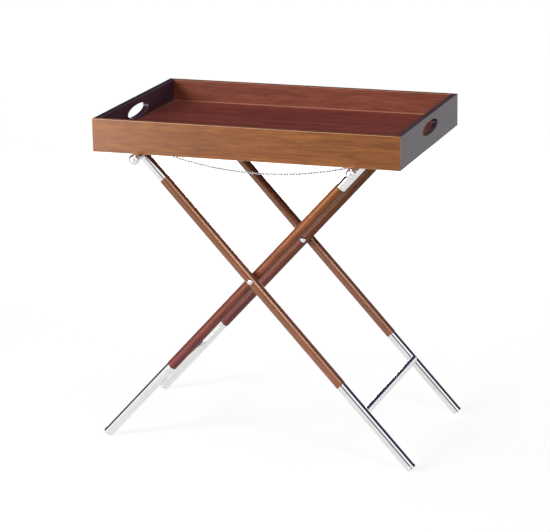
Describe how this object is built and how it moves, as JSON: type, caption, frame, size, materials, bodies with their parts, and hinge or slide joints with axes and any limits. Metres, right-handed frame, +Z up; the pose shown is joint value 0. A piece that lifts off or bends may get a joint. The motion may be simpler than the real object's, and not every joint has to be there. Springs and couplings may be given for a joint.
{
  "type": "butlers tray table",
  "caption": "Butlers tray table: a deep wooden tray with oval hand holes on a folding crossed-leg stand with plated fittings and check chains.",
  "frame": {"origin": "on the floor, under the middle of the tray and the two pivots", "axes": "+X to the right along the tray's long side, +Y to the back, +Z up"},
  "size_m": [0.8122, 0.569, 0.8231],
  "materials": {
    "tray_wood": "satin",
    "leg_wood": "satin",
    "plated_steel": "polished",
    "chain_chrome": "polished"
  },
  "bodies": {
    "pivot_hardware": {"front_pivot_bolt": "plated_steel", "front_pivot_washer": "plated_steel", "front_pivot_cap_nut": "plated_steel", "back_pivot_bolt": "plated_steel", "back_pivot_washer": "plated_steel", "back_pivot_cap_nut": "plated_steel"},
    "outer_frame": {"outer_front_leg": "leg_wood", "outer_front_leg_top": "plated_steel", "outer_front_sleeve": "plated_steel", "outer_front_foot_cap": "plated_steel", "outer_back_leg": "leg_wood", "outer_back_leg_top": "plated_steel", "outer_back_sleeve": "plated_steel", "outer_back_foot_cap": "plated_steel", "right_stretcher": "plated_steel"},
    "inner_frame": {"inner_front_leg": "leg_wood", "inner_front_leg_top": "plated_steel", "inner_front_sleeve": "plated_steel", "inner_front_foot_cap": "plated_steel", "inner_back_leg": "leg_wood", "inner_back_leg_top": "plated_steel", "inner_back_sleeve": "plated_steel", "inner_back_foot_cap": "plated_steel", "left_stretcher": "plated_steel"},
    "left_rail": {"left_rail": "plated_steel", "left_front_rail_collar": "plated_steel", "left_front_ball_finial": "plated_steel", "left_front_chain_eye": "chain_chrome", "left_back_rail_collar": "plated_steel", "left_back_ball_finial": "plated_steel", "left_back_chain_eye": "chain_chrome"},
    "right_rail": {"right_rail": "plated_steel", "right_front_rail_collar": "plated_steel", "right_front_ball_finial": "plated_steel", "right_front_chain_eye": "chain_chrome", "right_back_rail_collar": "plated_steel", "right_back_ball_finial": "plated_steel", "right_back_chain_eye": "chain_chrome"},
    "left_chains": {"front_chain_left_half": "chain_chrome", "back_chain_left_half": "chain_chrome"},
    "right_chains": {"front_chain_right_half": "chain_chrome", "back_chain_right_half": "chain_chrome"},
    "tray": {"tray_front_wall": "tray_wood", "tray_back_wall": "tray_wood", "tray_left_end": "tray_wood", "tray_right_end": "tray_wood", "tray_floor": "tray_wood", "tray_corner_splines": "tray_wood"}
  },
  "joints": [
    {"name": "stand_fold", "type": "hinge", "parent": "outer_frame", "child": "inner_frame", "pos_m": [0, 0, 0.44161], "axis": [0, 1, 0], "range_deg": [-81, 0]},
    {"name": "outer_fold", "type": "hinge", "parent": "pivot_hardware", "child": "outer_frame", "pos_m": [0, 0, 0.44161], "axis": [0, 1, 0], "range_deg": [0, 40.5]},
    {"name": "left_rail_turn", "type": "hinge", "parent": "outer_frame", "child": "left_rail", "pos_m": [-0.268, 0, 0.73409], "axis": [0, 1, 0], "range_deg": [-40.5, 0]},
    {"name": "right_rail_turn", "type": "hinge", "parent": "inner_frame", "child": "right_rail", "pos_m": [0.268, 0, 0.73409], "axis": [0, 1, 0], "range_deg": [0, 40.5]},
    {"name": "left_chain_swing", "type": "hinge", "parent": "left_rail", "child": "left_chains", "pos_m": [-0.25526, 0, 0.72483], "axis": [0, 1, 0], "range_deg": [0, 81.34], "deforming": ["front_chain_left_half", "back_chain_left_half"]},
    {"name": "right_chain_swing", "type": "hinge", "parent": "right_rail", "child": "right_chains", "pos_m": [0.25526, 0, 0.72483], "axis": [0, 1, 0], "range_deg": [-81.34, 0], "deforming": ["front_chain_right_half", "back_chain_right_half"]},
    {"name": "tray_lift", "type": "slide", "parent": "left_rail", "child": "tray", "axis": [0, 0, 1], "range_m": [0, 0.3]}
  ],
  "couplings": [
    {"joint": "outer_fold", "follows": "stand_fold", "ratio": -0.5},
    {"joint": "left_rail_turn", "follows": "stand_fold", "ratio": 0.5},
    {"joint": "right_rail_turn", "follows": "stand_fold", "ratio": -0.5},
    {"joint": "left_chain_swing", "follows": "stand_fold", "ratio": -1.0035},
    {"joint": "right_chain_swing", "follows": "stand_fold", "ratio": 1.0035}
  ]
}
